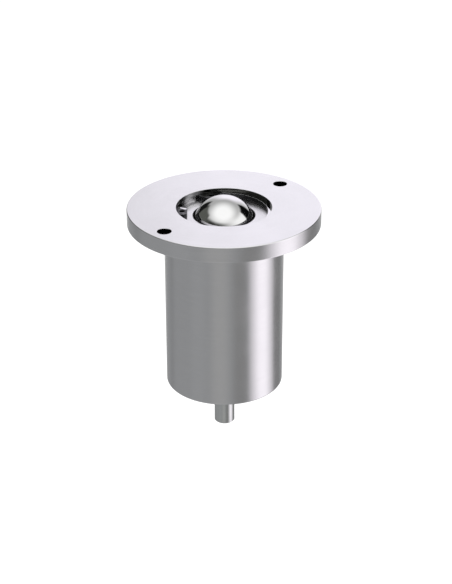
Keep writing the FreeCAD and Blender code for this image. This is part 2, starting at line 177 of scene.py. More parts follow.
def solid_mesh(name, sheets, caps=(), flat_ends=True):
    """Closed mesh of grids, each with whether it is wrapped, and of caps, each points and triangles.

    Points that coincide are merged, the faces are turned outwards, and all are smooth but those
    that face straight up or down.
    """
    points, faces, start = [], [], 0
    for grid, wrapped in sheets:
        rows, columns = grid.shape[:2]
        points.append(grid.reshape(-1, 3))
        faces += quads(rows, columns, start, wrapped).tolist()
        start += rows * columns
    for corners, triangles in caps:
        points.append(corners)
        faces += (np.asarray(triangles) + start).tolist()
        start += len(corners)
    mesh = bpy.data.meshes.new(name)
    mesh.from_pydata(np.concatenate(points), [], faces)
    shape = bmesh.new()
    shape.from_mesh(mesh)
    bmesh.ops.remove_doubles(shape, verts=shape.verts, dist=MERGE_DISTANCE)
    bmesh.ops.dissolve_degenerate(shape, edges=shape.edges, dist=MERGE_DISTANCE)
    bmesh.ops.recalc_face_normals(shape, faces=shape.faces)
    shape.to_mesh(mesh)
    shape.free()
    normals = np.zeros(len(mesh.polygons) * 3)
    mesh.polygons.foreach_get("normal", normals)
    level = np.abs(normals[2::3]) > LEVEL_FACE
    mesh.polygons.foreach_set("use_smooth", ~level if flat_ends else np.ones(len(level), bool))
    mesh.update()
    return mesh


def piece(mesh, node, body, material):
    """New piece that stands for a packed one, rides on its body and takes its finish."""
    thing = bpy.data.objects.new(mesh.name, mesh)
    bpy.context.scene.collection.objects.link(thing)
    mesh.materials.append(material)
    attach(thing, body)
    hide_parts(node)
    return thing


# Housing: a turned piece with a ring of flange round two screw holes

FLANGE_EDGE = 0.4 * MM
BODY_EDGE = 0.8 * MM
MOUTH_EDGE = 0.15 * MM
HOLE_EDGE = 0.25 * MM
ROOT_ROUND = 0.3 * MM
FINE_ROUND = 0.12 * MM
HOLE_SECTOR = 10
SECTOR_STEPS = 2 * HOLE_SECTOR * AROUND // 360
SECTOR_LINES = 12
HOLE_RINGS = 5

FACE_INNER = BODY_RADIUS + ROOT_ROUND + GUARD
FACE_OUTER = FLANGE_RADIUS - FLANGE_EDGE - GUARD


def sector_rim(side):
    """Closed outline of the flange's sector round a screw hole: two arcs and two radial lines."""
    wide = np.radians(HOLE_SECTOR)
    sweep = np.linspace(-wide, wide, SECTOR_STEPS + 1)
    line = np.linspace(FACE_INNER, FACE_OUTER, SECTOR_LINES)
    angle = [sweep, 0 * line[1:] + wide, sweep[::-1][1:], 0 * line[1:-1] - wide]
    radius = [0 * sweep + FACE_OUTER, line[::-1][1:], 0 * sweep[1:] + FACE_INNER, line[1:-1]]
    angle, radius = np.concatenate(angle), np.concatenate(radius)
    return side * np.stack([radius * np.cos(angle), radius * np.sin(angle)], axis=-1)


def hole_lines(side):
    """Centre of a screw hole, and the directions from it to the points of its sector's outline."""
    centre = np.array([side * SCREW_CIRCLE, 0.0])
    outward = sector_rim(side) - centre
    return centre, outward / np.linalg.norm(outward, axis=1, keepdims=True)


def at_level(plan, level):
    """Plan points (x, y) raised to a level."""
    return np.concatenate([plan, np.broadcast_to(level, plan.shape[:-1] + (1,))], axis=-1)


def flange_face(level):
    """Ring of the flange at one level: two plain sectors, and two that go round a screw hole.

    In a sector with a hole, each point lies a share of the way from the hole's edge to the sector's
    outline, on a line from the hole's centre.
    """
    sheets = []
    wide = np.radians(HOLE_SECTOR)
    columns = AROUND // 2 - SECTOR_STEPS + 1
    angle = np.linspace(wide, np.pi - wide, columns)
    radius = np.linspace(FACE_INNER, FACE_OUTER, SECTOR_LINES)[:, None]
    plain = np.stack([radius * np.cos(angle), radius * np.sin(angle)], axis=-1)
    share = np.linspace(0, 1, HOLE_RINGS + 1)[:, None, None]
    for side in (1, -1):
        centre, outward = hole_lines(side)
        edge = centre + outward * (SCREW_HOLE + HOLE_EDGE)
        sheets.append((at_level(side * plain, level), False))
        sheets.append((at_level(edge * (1 - share) + sector_rim(side) * share, level), True))
    return sheets


def screw_hole_wall(side):
    """Wall of a screw hole, rounded into both faces of the flange, on the lines of those faces.

    Each level of the profile is a ring at its radius from the hole's centre. The profile's end and
    guard points are left out, because the faces take over there.
    """
    mouth = SCREW_HOLE + 2 * HOLE_EDGE
    profile = rounded(
        [(mouth, FLANGE_TOP), (SCREW_HOLE, FLANGE_TOP), (SCREW_HOLE, 0), (mouth, 0)],
        [HOLE_EDGE, HOLE_EDGE],
    )[2:-2]
    centre, outward = hole_lines(side)
    plan = centre + outward * profile[:, None, :1]
    return at_level(plan, profile[:, None, 1:]), True


def make_housing(material):
    """Rim and barrel, each a profile (radius, level) carried round the axis, with the flange's two
    faces and the walls of the screw holes between them."""
    groove_bottom, groove_top = CLIP_BOTTOM - GROOVE_PLAY, CLIP_TOP + GROOVE_PLAY
    rim = rounded(
        [(FACE_OUTER, FLANGE_TOP), (FLANGE_RADIUS, FLANGE_TOP), (FLANGE_RADIUS, 0), (FACE_OUTER, 0)],
        [FLANGE_EDGE, FLANGE_EDGE],
    )
    barrel = rounded(
        [
            (FACE_INNER, 0),
            (BODY_RADIUS, 0),
            (BODY_RADIUS, BODY_BOTTOM),
            (BUSH_RADIUS, BODY_BOTTOM),
            (BUSH_RADIUS, FLOOR_TOP),
            (BORE_RADIUS, FLOOR_TOP),
            (BORE_RADIUS, groove_bottom),
            (GROOVE_RADIUS, groove_bottom),
            (GROOVE_RADIUS, groove_top),
            (BORE_RADIUS, groove_top),
            (BORE_RADIUS, FLANGE_TOP),
            (FACE_INNER, FLANGE_TOP),
        ],
        [ROOT_ROUND, BODY_EDGE] + [FINE_ROUND] * 2 + [ROOT_ROUND] + [FINE_ROUND] * 4 + [MOUTH_EDGE],
    )
    sheets = [(turned(rim), True), (turned(barrel), True)]
    sheets += flange_face(FLANGE_TOP) + flange_face(0)
    sheets += [screw_hole_wall(side) for side in (1, -1)]
    mesh = solid_mesh("turned_housing", sheets)
    return piece(mesh, "housing", "housing", material)


# Circlip: a stamped ring with a drilled lug at each side of its gap

CLIP_PLAY = 0.15 * MM
CLIP_OUTER = GROOVE_RADIUS - CLIP_PLAY
CLIP_WIDTH_BACK = 3.0 * MM
CLIP_WIDTH_ENDS = 1.5 * MM
CLIP_GAP = 7.75 * MM
CLIP_TURN = 8.4
LUG_ANGLE = 36
LUG_LENGTH = 6.2 * MM
LUG_TIP = CLIP_OUTER - LUG_LENGTH
LUG_SIDE = 4.1 * MM
LUG_HOLE = 1.25 * MM
LUG_HOLE_INSET = 2.4 * MM
LUG_ROUNDS = [0.3 * MM, 1.1 * MM, 1.5 * MM, 1.3 * MM]
CLIP_EDGE = 0.16 * MM
END_MARGIN = 3
ROOT_MARGIN = 6
CLIP_ARC_POINTS = 140
LUG_HOLE_POINTS = 40

# Strip of painted highlight along the gap side of one lug

STRIP_START = (-11.9 * MM, 18.4 * MM, CLIP_TOP)
STRIP_END = (-10.9 * MM, 15.0 * MM, CLIP_TOP)
STRIP_WIDTH_START = 0.45 * MM
STRIP_WIDTH_END = 0.95 * MM


def circlip_half():
    """Half of the circlip's outline, from the middle of its back round a lug and back inside.

    The inner edge is a circle moved towards the gap, so the ring is widest at the back. The lug is
    a rounded block on a line that leans from the gap, and the gap cuts its side off. The two arcs
    stop a few degrees short of the lug's corners, to leave room for its rounds.
    """
    lean = np.radians(LUG_ANGLE)
    along = np.array([np.sin(lean), np.cos(lean)])
    across = np.array([np.cos(lean), -np.sin(lean)])
    inner = CLIP_OUTER - (CLIP_WIDTH_BACK + CLIP_WIDTH_ENDS) / 2
    shift = (CLIP_WIDTH_BACK - CLIP_WIDTH_ENDS) / 2
    end_angle = np.arcsin(CLIP_GAP / CLIP_OUTER)
    outside = np.linspace(np.pi, end_angle + np.radians(END_MARGIN), CLIP_ARC_POINTS)
    outside = CLIP_OUTER * np.stack([np.sin(outside), np.cos(outside)], axis=-1)
    end = np.array([CLIP_GAP, CLIP_OUTER * np.cos(end_angle)])
    reach_back = (CLIP_GAP - LUG_TIP * along[0]) / across[0]
    tip_near_gap = LUG_TIP * along + reach_back * across
    tip_far = LUG_TIP * along + LUG_SIDE * across
    side = LUG_SIDE * across - np.array([0.0, shift])
    distance = -side @ along + np.sqrt((side @ along) ** 2 - side @ side + inner**2)
    root = LUG_SIDE * across + distance * along
    root_angle = np.arctan2(root[0], root[1] - shift)
    inside = np.linspace(root_angle + np.radians(ROOT_MARGIN), np.pi, CLIP_ARC_POINTS)
    inside = inner * np.stack([np.sin(inside), np.cos(inside)], axis=-1) + np.array([0.0, shift])
    lug = rounded([outside[-1], end, tip_near_gap, tip_far, root, inside[0]], LUG_ROUNDS)
    return np.concatenate([outside[:-1], lug, inside[1:]])


def inset(loop, depth):
    """Closed loop moved by a depth along its inward normals, which point left of its direction."""
    onward = np.roll(loop, -1, axis=0) - np.roll(loop, 1, axis=0)
    onward /= np.linalg.norm(onward, axis=1, keepdims=True)
    return loop + depth * np.stack([-onward[:, 1], onward[:, 0]], axis=-1)


def without_repeats(loop):
    """Closed loop with no two neighbouring points in one place."""
    step = np.linalg.norm(loop - np.roll(loop, 1, axis=0), axis=1)
    return loop[step > 2 * MERGE_DISTANCE]


def plate(name, loops, bottom, top, edge):
    """Flat plate between two levels, with rounded edges along its outline and its holes.

    Each loop is carried through a profile of depths and levels, without its end and guard points,
    and both faces are triangles.
    """
    profile = rounded(
        [(2 * edge, bottom), (0, bottom), (0, top), (2 * edge, top)],
        [edge, edge],
    )[2:-2]
    sheets = []
    for loop in loops:
        plan = np.stack([inset(loop, depth) for depth in profile[:, 0]])
        sheets.append((at_level(plan, profile[:, None, 1:]), True))
    face = [[Vector((x, y, 0)) for x, y in inset(loop, profile[0, 0])] for loop in loops]
    triangles = tessellate_polygon(face)
    plan = np.concatenate([inset(loop, profile[0, 0]) for loop in loops])
    caps = [(at_level(plan, level), triangles) for level in (bottom, top)]
    return solid_mesh(name, sheets, caps)


def make_circlip(material):
    """Plate of the outline, which is one half and its mirror image, and of a hole in each lug, all
    turned about the axis."""
    half = circlip_half()
    outline = np.concatenate([half, (half * [-1, 1])[::-1]])
    lean = np.radians(LUG_ANGLE)
    angle = np.linspace(0, 2 * np.pi, LUG_HOLE_POINTS, endpoint=False)
    ring = LUG_HOLE * np.stack([np.sin(angle), np.cos(angle)], axis=-1)
    reach_in = LUG_TIP + LUG_HOLE_INSET
    holes = [ring + reach_in * np.array([side * np.sin(lean), np.cos(lean)]) for side in (1, -1)]
    turn = np.radians(CLIP_TURN)
    swing = np.array([[np.cos(turn), np.sin(turn)], [-np.sin(turn), np.cos(turn)]])
    loops = [without_repeats(loop) @ swing for loop in [outline, *holes]]
    mesh = plate("stamped_circlip", loops, CLIP_BOTTOM, CLIP_TOP, CLIP_EDGE)
    return piece(mesh, "circlip", "housing", material)


# Ball unit: cover, wiper and load ball

COVER_EDGE = 0.1 * MM
LIP_EDGE = 0.1 * MM
BALL_GRID = 64
WIPER_FACE_POINTS = 16


def make_cover_ring(material):
    """Profile (radius, level) of a plate with a pocket for the wiper, carried round the axis."""
    pocket = WIPER_RADIUS + WIPER_PLAY
    wiper_top = COVER_BOTTOM + WIPER_POCKET
    middle = (pocket + CARRIER_RADIUS) / 2
    profile = rounded(
        [
            (middle, COVER_BOTTOM),
            (CARRIER_RADIUS, COVER_BOTTOM),
            (CARRIER_RADIUS, COVER_TOP),
            (COVER_HOLE, COVER_TOP),
            (COVER_HOLE, wiper_top),
            (pocket, wiper_top),
            (pocket, COVER_BOTTOM),
            (middle, COVER_BOTTOM),
        ],
        [FINE_ROUND, COVER_EDGE, COVER_EDGE] + [FINE_ROUND] * 3,
    )
    mesh = solid_mesh("cover_plate", [(turned(profile), True)])
    return piece(mesh, "cover_ring", "ball_unit", material)


def make_wiper_ring(material):
    """Ring whose inner face is a zone of a sphere round the ball, a little way off it."""
    face = BALL_RADIUS + WIPER_BALL_GAP
    lip = COVER_HOLE - WIPER_PLAY
    shoulder = LIP_TOP - WIPER_LIP
    level = np.linspace(WIPER_BOTTOM, LIP_TOP, WIPER_FACE_POINTS)
    inner = np.stack([np.sqrt(face**2 - (level - BALL_CENTRE) ** 2), level], axis=-1)
    outer = rounded(
        [inner[-1], (lip, LIP_TOP), (lip, shoulder), (WIPER_RADIUS, shoulder),
         (WIPER_RADIUS, WIPER_BOTTOM), inner[0]],
        [LIP_EDGE] + [FINE_ROUND] * 3,
    )
    mesh = solid_mesh("wiper_seal", [(turned(np.concatenate([inner, outer[1:]])), True)])
    return piece(mesh, "wiper_ring", "ball_unit", material)


def make_load_ball(material):
    """Sphere from the six faces of a cube: (1, tan u, tan v) brought to the ball's radius."""
    angle = np.linspace(-np.pi / 4, np.pi / 4, BALL_GRID + 1)
    u, v = np.meshgrid(angle, angle, indexing="ij")
    face = np.stack([np.ones_like(u), np.tan(u), np.tan(v)], axis=-1)
    face *= BALL_RADIUS / np.linalg.norm(face, axis=-1, keepdims=True)
    centre = np.array([0, 0, BALL_CENTRE])
    sheets = [
        (centre + side * np.roll(face, axis, axis=-1), False)
        for axis in range(3) for side in (1, -1)
    ]
    mesh = solid_mesh("polished_ball", sheets, flat_ends=False)
    return piece(mesh, "load_ball", "load_ball", material)


# Guide stem, its bush, and the spring

STEM_EDGE = 0.5 * MM
SPRING_TURNS = 5
SPRING_WIDTH = 5.6 * MM
SPRING_HEIGHT = 3.6 * MM
SPRING_ROUND = 0.4 * MM
SPRING_LIP = 0.1 * MM
SPRING_STEPS = 80


def make_guide_stem(material):
    """Profile (radius, level) of a pin with a collar and a threaded end, carried round the axis."""
    collar_bottom = CARRIER_BOTTOM - COLLAR_THICKNESS
    profile = rounded(
        [
            (0, STEM_BOTTOM),
            (STEM_RADIUS - STEM_EDGE, STEM_BOTTOM),
            (STEM_RADIUS, STEM_BOTTOM + STEM_EDGE),
            (STEM_RADIUS, collar_bottom),
            (COLLAR_RADIUS, collar_bottom),
            (COLLAR_RADIUS, CARRIER_BOTTOM),
            (THREAD_RADIUS, CARRIER_BOTTOM),
            (THREAD_RADIUS, STEM_TOP),
            (0, STEM_TOP),
        ],
        [FINE_ROUND] * 7,
    )
    mesh = solid_mesh("guide_pin", [(turned(profile, SMALL_AROUND), True)])
    return piece(mesh, "guide_stem", "ball_unit", material)


def make_guide_bush(material):
    """Profile (radius, level) of a bush with a flange inside the housing, carried round the axis."""
    middle = (BUSH_BORE + BUSH_RADIUS) / 2
    profile = rounded(
        [
            (middle, BUSH_BOTTOM),
            (BUSH_RADIUS, BUSH_BOTTOM),
            (BUSH_RADIUS, FLOOR_TOP),
            (BUSH_FLANGE, FLOOR_TOP),
            (BUSH_FLANGE, BUSH_TOP),
            (BUSH_BORE, BUSH_TOP),
            (BUSH_BORE, BUSH_BOTTOM),
            (middle, BUSH_BOTTOM),
        ],
        [FINE_ROUND] * 6,
    )
    mesh = solid_mesh("flanged_bush", [(turned(profile, SMALL_AROUND), True)])
    return piece(mesh, "guide_bush", "housing", material)


def make_spring(material):
    """Rounded bar carried along a helix of even pitch, and levelled where it passes its seats.

    At angle a the bar's middle is at (R cos a, R sin a, pitch a / one turn) above its start.
    """
    length = SPRING_TOP - SPRING_BOTTOM
    pitch = length / SPRING_TURNS
    half_width, half_height = SPRING_WIDTH / 2, SPRING_HEIGHT / 2
    section = rounded(
        [(0, -half_height), (half_width, -half_height), (half_width, half_height),
         (-half_width, half_height), (-half_width, -half_height), (0, -half_height)],
        [SPRING_ROUND] * 4,
    )[:-1]
    overrun = half_height - SPRING_LIP
    rise = length + 2 * overrun
    turns = rise / pitch
    share = np.linspace(0, 1, int(turns * SPRING_STEPS))
    angle = 2 * np.pi * turns * share - 2 * np.pi * overrun / pitch + np.pi
    radius = SPRING_RADIUS - half_width + section[:, :1]
    level = SPRING_BOTTOM - overrun + rise * share + section[:, 1:]
    level = np.clip(level, SPRING_BOTTOM, SPRING_TOP)
    bar = np.stack([radius * np.cos(angle), radius * np.sin(angle), level], axis=-1)
    bar = np.swapaxes(bar, 0, 1)
    fan = np.arange(1, len(section) - 1)
    triangles = np.stack([0 * fan, fan, fan + 1], axis=-1)
    caps = [(bar[0], triangles), (bar[-1], triangles)]
    mesh = solid_mesh("coiled_spring", [(bar, True)], caps)
    thing = piece(mesh, "spring", "housing", material)
    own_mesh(thing)
    return thing


# Shader nodes

COLOUR_INPUTS = (6, 7)
COLOUR_OUTPUT = 2
NEAR_AXIS = 1e-5


def add(tree, kind, inputs=None, **settings):
    """New node; inputs maps a socket's name or number to a value or to another node's socket."""
    node = tree.nodes.new(kind)
    for key, value in settings.items():
        setattr(node, key, value)
    for key, value in (inputs or {}).items():
        if isinstance(value, bpy.types.NodeSocket):
            tree.links.new(value, node.inputs[key])
        else:
            node.inputs[key].default_value = value
    return node


def maths(tree, operation, first, second=0.0, third=0.0):
    """Output of a Math node that works an operation out of up to three values or sockets."""
    return add(tree, "ShaderNodeMath", {0: first, 1: second, 2: third}, operation=operation).outputs[0]


def new_group(name, inputs, outputs):
    """Shader node group with named sockets, and the nodes for its inputs and outputs."""
    tree = bpy.data.node_groups.new(name, "ShaderNodeTree")
    kinds = {"value": "NodeSocketFloat", "vector": "NodeSocketVector"}
    for label, kind, value in inputs:
        socket = tree.interface.new_socket(name=label, in_out="INPUT", socket_type=kinds[kind])
        if value is not None:
            socket.default_value = value
    for label, kind in outputs:
        tree.interface.new_socket(name=label, in_out="OUTPUT", socket_type=kinds[kind])
    return tree, tree.nodes.new("NodeGroupInput").outputs, tree.nodes.new("NodeGroupOutput").inputs


def polar(tree, coordinates):
    """Sockets of a point's distance from the axis, its level, and the cosine and sine of its angle."""
    x, y, level = add(tree, "ShaderNodeSeparateXYZ", {0: coordinates}).outputs
    squares = maths(tree, "ADD", maths(tree, "MULTIPLY", x, x), maths(tree, "MULTIPLY", y, y))
    radius = maths(tree, "SQRT", squares)
    safe = maths(tree, "MAXIMUM", radius, NEAR_AXIS)
    return radius, level, maths(tree, "DIVIDE", x, safe), maths(tree, "DIVIDE", y, safe)


def turning_marks_group():
    """Fine rings that a turning tool leaves: noise that changes fast with radius and level, and
    slowly with the angle round the axis."""
    tree, given, result = new_group(
        "turning_marks",
        [("Coordinates", "vector", None), ("Rings", "value", 4000.0), ("Length", "value", 3.0)],
        [("Height", "value"), ("Tone", "value")],
    )
    radius, level, cosine, sine = polar(tree, given["Coordinates"])
    for label, detail, finer in (("Height", 2.0, 1.0), ("Tone", 3.0, 0.35)):
        rings = maths(tree, "MULTIPLY", given["Rings"], finer)
        spot = add(tree, "ShaderNodeCombineXYZ", {
            0: maths(tree, "MULTIPLY", radius, rings),
            1: maths(tree, "MULTIPLY", level, rings),
            2: maths(tree, "MULTIPLY", cosine, given["Length"]),
        }).outputs[0]
        noise = add(tree, "ShaderNodeTexNoise", {
            "Vector": spot, "W": maths(tree, "MULTIPLY", sine, given["Length"]), "Scale": 1.0,
            "Detail": detail, "Roughness": 0.6,
        }, noise_dimensions="4D")
        tree.links.new(noise.outputs["Fac"], result[label])
    return tree


def handling_group():
    """Faint cloudy patches left by wiping and handling, between two roughnesses."""
    tree, given, result = new_group(
        "handling",
        [("Coordinates", "vector", None), ("Scale", "value", 60.0), ("Low", "value", 0.2),
         ("High", "value", 0.3)],
        [("Roughness", "value"), ("Mask", "value")],
    )
    noise = add(tree, "ShaderNodeTexNoise", {
        "Vector": given["Coordinates"], "Scale": given["Scale"], "Detail": 5.0, "Roughness": 0.55,
        "Distortion": 0.4,
    })
    mask = add(tree, "ShaderNodeMapRange", {
        "Value": noise.outputs["Fac"], "From Min": 0.3, "From Max": 0.7,
    }, interpolation_type="SMOOTHSTEP")
    tree.links.new(mask.outputs["Result"], result["Mask"])
    span = maths(tree, "SUBTRACT", given["High"], given["Low"])
    rough = maths(tree, "MULTIPLY_ADD", mask.outputs["Result"], span, given["Low"])
    tree.links.new(rough, result["Roughness"])
    return tree


def rim_group():
    """Brighter line where an edge is burnished: falls off with the distance from a circle."""
    tree, given, result = new_group(
        "burnished_rim",
        [("Coordinates", "vector", None), ("Radius", "value", 0.046), ("Level", "value", 0.0077),
         ("Width", "value", 0.0005)],
        [("Mask", "value")],
    )
    radius, level, _, _ = polar(tree, given["Coordinates"])
    across = maths(tree, "SUBTRACT", radius, given["Radius"])
    up = maths(tree, "SUBTRACT", level, given["Level"])
    squares = maths(tree, "ADD", maths(tree, "MULTIPLY", across, across), maths(tree, "MULTIPLY", up, up))
    share = maths(tree, "DIVIDE", maths(tree, "SQRT", squares), given["Width"])
    mask = maths(tree, "SUBTRACT", 1.0, share)
    tree.links.new(maths(tree, "MAXIMUM", mask, 0.0), result["Mask"])
    return tree


def grain_group():
    """Even fine grain, as a coating or a pressed powder has, with its height and its patches."""
    tree, given, result = new_group(
        "fine_grain",
        [("Coordinates", "vector", None), ("Scale", "value", 3000.0)],
        [("Height", "value"), ("Mask", "value")],
    )
    grain = add(tree, "ShaderNodeTexNoise", {
        "Vector": given["Coordinates"], "Scale": given["Scale"], "Detail": 3.0, "Roughness": 0.6,
    })
    cells = add(tree, "ShaderNodeTexVoronoi", {
        "Vector": given["Coordinates"], "Scale": given["Scale"],
    })
    tree.links.new(grain.outputs["Fac"], result["Height"])
    tree.links.new(cells.outputs["Distance"], result["Mask"])
    return tree


def inside_group():
    """1 for the points inside an upright cylinder between two levels, and 0 for the rest."""
    tree, given, result = new_group(
        "inside",
        [("Coordinates", "vector", None), ("Centre", "vector", None), ("Radius", "value", 0.02),
         ("Bottom", "value", -0.1), ("Top", "value", 0.0)],
        [("Mask", "value")],
    )
    apart = add(tree, "ShaderNodeVectorMath", {0: given["Coordinates"], 1: given["Centre"]},
                operation="SUBTRACT").outputs[0]
    radius, level, _, _ = polar(tree, apart)
    near = maths(tree, "LESS_THAN", radius, given["Radius"])
    below_top = maths(tree, "LESS_THAN", level, given["Top"])
    above_bottom = maths(tree, "GREATER_THAN", level, given["Bottom"])
    between = maths(tree, "MULTIPLY", below_top, above_bottom)
    tree.links.new(maths(tree, "MULTIPLY", near, between), result["Mask"])
    return tree


def painted_light_sector_group():
    """Mask for painted shade or a painted highlight on the side of a ring that faces a direction, thin in
    a few patches, with a soft edge where the ring turns away."""
    tree, given, result = new_group(
        "painted_light_sector",
        [("Coordinates", "vector", None), ("Direction", "vector", None), ("Cosine", "value", 0.6),
         ("Scale", "value", 500.0)],
        [("Mask", "value")],
    )
    flat = add(tree, "ShaderNodeVectorMath", {0: given["Coordinates"], 1: (1, 1, 0)},
               operation="MULTIPLY").outputs[0]
    outward = add(tree, "ShaderNodeVectorMath", {0: flat}, operation="NORMALIZE").outputs[0]
    facing = add(tree, "ShaderNodeVectorMath", {0: outward, 1: given["Direction"]},
                 operation="DOT_PRODUCT").outputs["Value"]
    turned_away = maths(tree, "SUBTRACT", facing, given["Cosine"])
    sector = add(tree, "ShaderNodeMapRange", {
        "Value": turned_away, "From Min": -0.03, "From Max": 0.03,
    }, interpolation_type="SMOOTHSTEP").outputs["Result"]
    noise = add(tree, "ShaderNodeTexNoise", {
        "Vector": given["Coordinates"], "Scale": given["Scale"], "Detail": 3.0, "Roughness": 0.55,
    })
    patches = add(tree, "ShaderNodeMapRange", {
        "Value": noise.outputs["Fac"], "From Min": 0.7, "From Max": 0.45, "To Min": 0.84, "To Max": 1.0,
    }, interpolation_type="SMOOTHSTEP").outputs["Result"]
    tree.links.new(maths(tree, "MULTIPLY", sector, patches), result["Mask"])
    return tree


def painted_highlight_strip_group():
    """Strip of painted highlight along a line: 1 on the line from a start to an end, and 0 past a width
    that grows from one end to the other."""
    tree, given, result = new_group(
        "painted_highlight_strip",
        [("Coordinates", "vector", None), ("Start", "vector", None), ("Onward", "vector", None),
         ("Length", "value", 0.005), ("Width", "value", 0.0005), ("End Width", "value", 0.001)],
        [("Mask", "value")],
    )
    apart = add(tree, "ShaderNodeVectorMath", {0: given["Coordinates"], 1: given["Start"]},
                operation="SUBTRACT").outputs[0]
    along = add(tree, "ShaderNodeVectorMath", {0: apart, 1: given["Onward"]},
                operation="DOT_PRODUCT").outputs["Value"]
    along = maths(tree, "MINIMUM", maths(tree, "MAXIMUM", along, 0.0), given["Length"])
    foot = add(tree, "ShaderNodeVectorMath", {0: given["Onward"], "Scale": along},
               operation="SCALE").outputs[0]
    distance = add(tree, "ShaderNodeVectorMath", {0: apart, 1: foot},
                   operation="DISTANCE").outputs["Value"]
    share = maths(tree, "DIVIDE", along, given["Length"])
    growth = maths(tree, "SUBTRACT", given["End Width"], given["Width"])
    width = maths(tree, "MULTIPLY_ADD", share, growth, given["Width"])
    mask = add(tree, "ShaderNodeMapRange", {
        "Value": maths(tree, "DIVIDE", distance, width), "From Min": 1.0, "From Max": 0.6,
    }, interpolation_type="SMOOTHSTEP").outputs["Result"]
    tree.links.new(mask, result["Mask"])
    return tree


TURNING = turning_marks_group()
HANDLING = handling_group()
RIM = rim_group()
GRAIN = grain_group()
INSIDE = inside_group()
PAINTED_LIGHT_SECTOR = painted_light_sector_group()
PAINTED_HIGHLIGHT_STRIP = painted_highlight_strip_group()


def group(tree, kind, **inputs):
    """A shared effect placed in a material; inputs are its socket names with _ for a space."""
    node = tree.nodes.new("ShaderNodeGroup")
    node.node_tree = kind
    for key, value in inputs.items():
        socket = node.inputs[key.replace("_", " ")]
        if isinstance(value, bpy.types.NodeSocket):
            tree.links.new(value, socket)
        else:
            socket.default_value = value
    return node.outputs


def new_material(name, metallic=1.0, **fixed):
    """Material with one Principled shader, the piece's Object coordinates and fixed shader values."""
    material = bpy.data.materials.new(name)
    material.use_nodes = True
    tree = material.node_tree
    shader = tree.nodes["Principled BSDF"]
    shader.inputs["Metallic"].default_value = metallic
    for key, value in fixed.items():
        shader.inputs[key.replace("_", " ")].default_value = value
    place = add(tree, "ShaderNodeTexCoord").outputs["Object"]
    return material, tree, shader.inputs, place


def blend_colour(tree, mask, first, second):
    """Mix of two colours by a mask."""
    node = add(tree, "ShaderNodeMix", {"Factor": mask}, data_type="RGBA")
    for key, value in zip(COLOUR_INPUTS, (first, second)):
        if isinstance(value, bpy.types.NodeSocket):
            tree.links.new(value, node.inputs[key])
        else:
            node.inputs[key].default_value = (*value, 1.0)
    return node.outputs[COLOUR_OUTPUT]


def bump(tree, height, distance):
    """Normal of a surface raised by a height, of which 1 stands for a distance."""
    return add(tree, "ShaderNodeBump", {
        "Height": height, "Distance": distance, "Strength": 1.0,
    }).outputs["Normal"]


# Finishes: each has a dark and a bright colour, and a roughness between low and high

MARK_LENGTH = 2.5
RIM_BRIGHTNESS = 1.06
RIM_SMOOTHNESS = 0.35
# Colour of the painted highlight in the bore's sectors
BORE_PAINTED_HIGHLIGHT = (0.72, 0.71, 0.73)
CLIP_PATCH_SCALE = 120.0
COATED_PATCH_SCALE = 150.0
# Roughness added where the circlip has painted shade
SHADED_ROUGHNESS = 0.12


def turned_steel(name, dark, bright, low, high, rings, marks, rims=(), hollows=()):
    """Bright turned steel: rings from the tool, cloudy patches, burnished rims, and hollows of painted
    shade that are smoother, with sectors of painted highlight.

    A rim is a radius, a level and a width. A hollow is where it lies, the colour of its painted shade,
    the share of the roughness and of the marks that it loses, and its sectors of painted highlight, which
    keep both.
    """
    material, tree, shader, place = new_material(name)
    turning = group(tree, TURNING, Coordinates=place, Rings=rings, Length=MARK_LENGTH)
    handling = group(tree, HANDLING, Coordinates=place, Low=low, High=high)
    colour = blend_colour(tree, turning["Tone"], dark, bright)
    rough, height = handling["Roughness"], turning["Height"]
    burnished = [min(1.0, part * RIM_BRIGHTNESS) for part in bright]
    for radius, level, width in rims:
        mask = group(tree, RIM, Coordinates=place, Radius=radius, Level=level, Width=width)["Mask"]
        colour = blend_colour(tree, mask, colour, burnished)
        off_rim = maths(tree, "MULTIPLY_ADD", mask, -RIM_SMOOTHNESS, 1.0)
        rough = maths(tree, "MULTIPLY", rough, off_rim)
    # Painted shade in each hollow, smoother than the rest
    for place_inside, shade, smoothness, highlight_sectors in hollows:
        mask = group(tree, INSIDE, Coordinates=place, **place_inside)["Mask"]
        smooth = mask
        for sector in highlight_sectors:
            # Painted highlight over the hollow's painted shade
            painted_highlight = group(tree, PAINTED_LIGHT_SECTOR, Coordinates=place, **sector)["Mask"]
            shade = blend_colour(tree, painted_highlight, shade, BORE_PAINTED_HIGHLIGHT)
            smooth = maths(tree, "MULTIPLY", smooth, maths(tree, "SUBTRACT", 1.0, painted_highlight))
        colour = blend_colour(tree, mask, colour, shade)
        outside = maths(tree, "MULTIPLY_ADD", smooth, -smoothness, 1.0)
        rough = maths(tree, "MULTIPLY", rough, outside)
        height = maths(tree, "MULTIPLY", height, outside)
    tree.links.new(colour, shader["Base Color"])
    tree.links.new(rough, shader["Roughness"])
    tree.links.new(bump(tree, height, marks), shader["Normal"])
    return material


def polished_steel(name, dark, bright, low, high, scale):
    """Mirror-polished steel with faint cloudy patches."""
    material, tree, shader, place = new_material(name)
    handling = group(tree, HANDLING, Coordinates=place, Low=low, High=high, Scale=scale)
    tree.links.new(blend_colour(tree, handling["Mask"], dark, bright), shader["Base Color"])
    tree.links.new(handling["Roughness"], shader["Roughness"])
    return material


